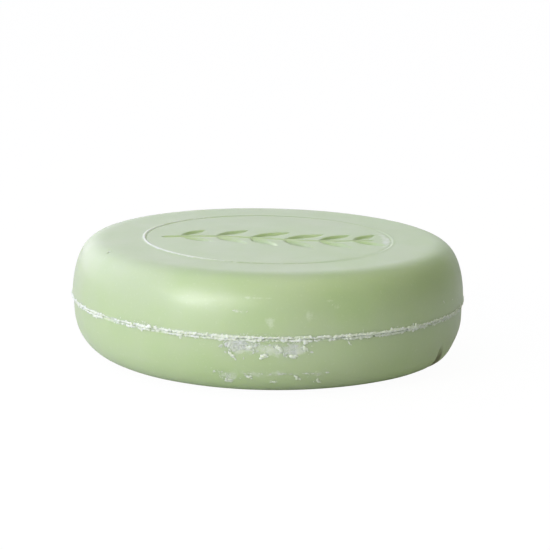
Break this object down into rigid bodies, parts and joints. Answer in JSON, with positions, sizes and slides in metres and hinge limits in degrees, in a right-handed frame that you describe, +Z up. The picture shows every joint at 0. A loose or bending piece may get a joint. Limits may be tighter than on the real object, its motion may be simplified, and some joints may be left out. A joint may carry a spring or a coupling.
{
  "type": "shaving soap puck",
  "caption": "Round pressed shaving soap puck with a flat top and base, a shallow ring and leaf sprig pressed into the top, and crumbly flash along its parting line.",
  "frame": {"origin": "centre of the flat base, on the surface the puck stands on", "axes": "+Z up along the puck's axis of symmetry, -Y to the front, +X to the right of someone facing the front"},
  "size_m": [0.0762, 0.0767, 0.023],
  "materials": {
    "pressed_soap": "satin",
    "flash_soap": "matte",
    "dry_soap_crumb": "matte"
  },
  "bodies": {
    "root": {"crumb_beside_flash": "dry_soap_crumb", "crumb_high_right": "dry_soap_crumb", "crumb_left_shoulder": "dry_soap_crumb", "crumb_low_front_1": "dry_soap_crumb", "crumb_low_front_2": "dry_soap_crumb", "crumb_low_front_3": "dry_soap_crumb", "crumb_low_front_4": "dry_soap_crumb", "crumb_low_front_5": "dry_soap_crumb", "crumb_low_right": "dry_soap_crumb", "crumb_under_flash_1": "dry_soap_crumb", "crumb_under_flash_2": "dry_soap_crumb", "crumb_under_flash_3": "dry_soap_crumb", "crumb_under_flash_4": "dry_soap_crumb", "crumb_under_flash_5": "dry_soap_crumb", "crumb_under_flash_6": "dry_soap_crumb", "flash_front": "flash_soap", "flash_front_left": "flash_soap", "flash_front_right": "flash_soap", "flash_left": "flash_soap", "flash_rear_left": "flash_soap", "flash_rear_right": "flash_soap", "flash_right": "flash_soap", "soap_body": "pressed_soap"}
  },
  "joints": []
}
